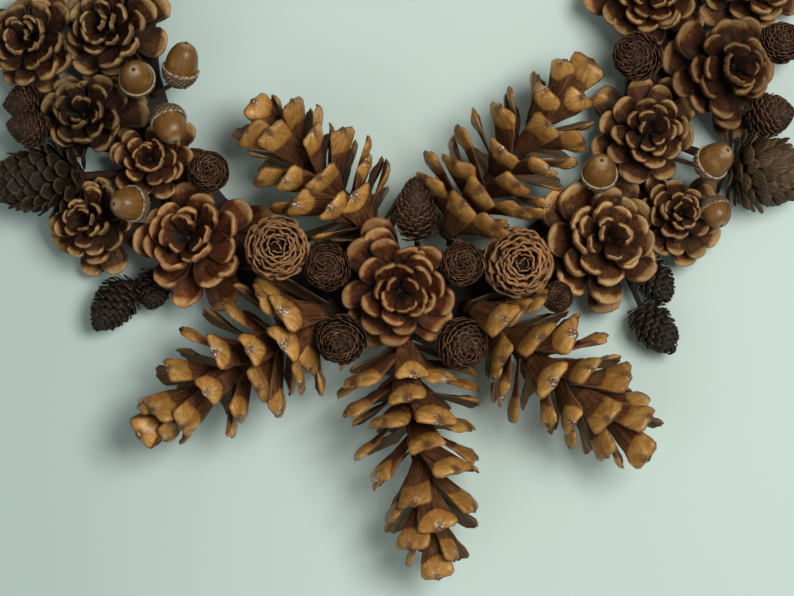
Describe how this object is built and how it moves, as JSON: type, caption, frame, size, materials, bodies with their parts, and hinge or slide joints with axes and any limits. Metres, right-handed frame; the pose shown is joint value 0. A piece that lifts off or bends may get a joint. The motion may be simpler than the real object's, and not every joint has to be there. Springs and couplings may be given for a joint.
{
  "type": "pine cone wreath",
  "caption": "Wreath of open pine cones, acorns and small cones on a flat ring, with long cones radiating like a star at its foot.",
  "frame": {"origin": "middle of the outline's box, on the flat back face of the ring that the wreath lies on", "axes": "+Z out of the front, towards the viewer; +Y towards the top of the wreath, away from the star; +X to the viewer's right"},
  "size_m": [0.4142, 0.4813, 0.0868],
  "materials": {
    "ring_board": "dark stained plywood",
    "cone_scale": "dry woody scales, reddish brown with tan rims",
    "star_scale": "glossy ochre scale ends over dark brown",
    "rose_scale": "pale tan, matt",
    "dark_scale": "dark brown, matt",
    "ragged_scale": "blackish brown, matt",
    "acorn_nut": "glossy amber brown shell",
    "acorn_cup": "grey brown, finely scaly",
    "seed_cone": "black brown, matt",
    "twig": "dark bark"
  },
  "bodies": {
    "root": {"acorn_left_down": "acorn_nut", "acorn_left_face": "acorn_nut", "acorn_left_outer": "acorn_nut", "acorn_left_up": "acorn_nut", "acorn_right_inner": "acorn_nut", "acorn_right_low": "acorn_nut", "acorn_right_outer": "acorn_nut", "acorn_upper_1": "acorn_nut", "acorn_upper_3": "acorn_nut", "base_ring": "ring_board", "centre_cone": "cone_scale", "cone_left_edge": "cone_scale", "cone_left_front": "cone_scale", "cone_left_inner": "cone_scale", "cone_left_middle": "cone_scale", "cone_left_outer": "cone_scale", "cone_left_upper": "cone_scale", "cone_right_edge": "cone_scale", "cone_right_front": "cone_scale", "cone_right_inner": "cone_scale", "cone_right_middle": "cone_scale", "cone_right_outer": "cone_scale", "cone_right_upper": "cone_scale", "cone_upper_inner_1": "cone_scale", "cone_upper_inner_2": "cone_scale", "cone_upper_inner_3": "cone_scale", "cone_upper_inner_4": "cone_scale", "cone_upper_inner_5": "cone_scale", "cone_upper_inner_6": "cone_scale", "cone_upper_outer_1": "cone_scale", "cone_upper_outer_2": "cone_scale", "cone_upper_outer_4": "cone_scale", "cone_upper_outer_6": "cone_scale", "dark_edge_left_high": "dark_scale", "dark_edge_left_low": "dark_scale", "dark_edge_right_high": "dark_scale", "dark_edge_right_low": "dark_scale", "dark_left_high": "dark_scale", "dark_left_low": "dark_scale", "dark_left_side": "dark_scale", "dark_right_high": "dark_scale", "dark_right_low": "dark_scale", "dark_right_side": "dark_scale", "dark_right_tiny": "dark_scale", "dark_top": "dark_scale", "dark_upper_2": "dark_scale", "dark_upper_4": "dark_scale", "long_dark_left": "ragged_scale", "long_dark_right": "ragged_scale", "long_dark_upper_3": "ragged_scale", "long_dark_upper_5": "ragged_scale", "rose_left": "rose_scale", "rose_right": "rose_scale", "seeds_left": "seed_cone", "seeds_right": "seed_cone", "star_bottom": "star_scale", "star_low_left": "star_scale", "star_low_right": "star_scale", "star_up_left": "star_scale", "star_up_right": "star_scale"}
  },
  "joints": []
}
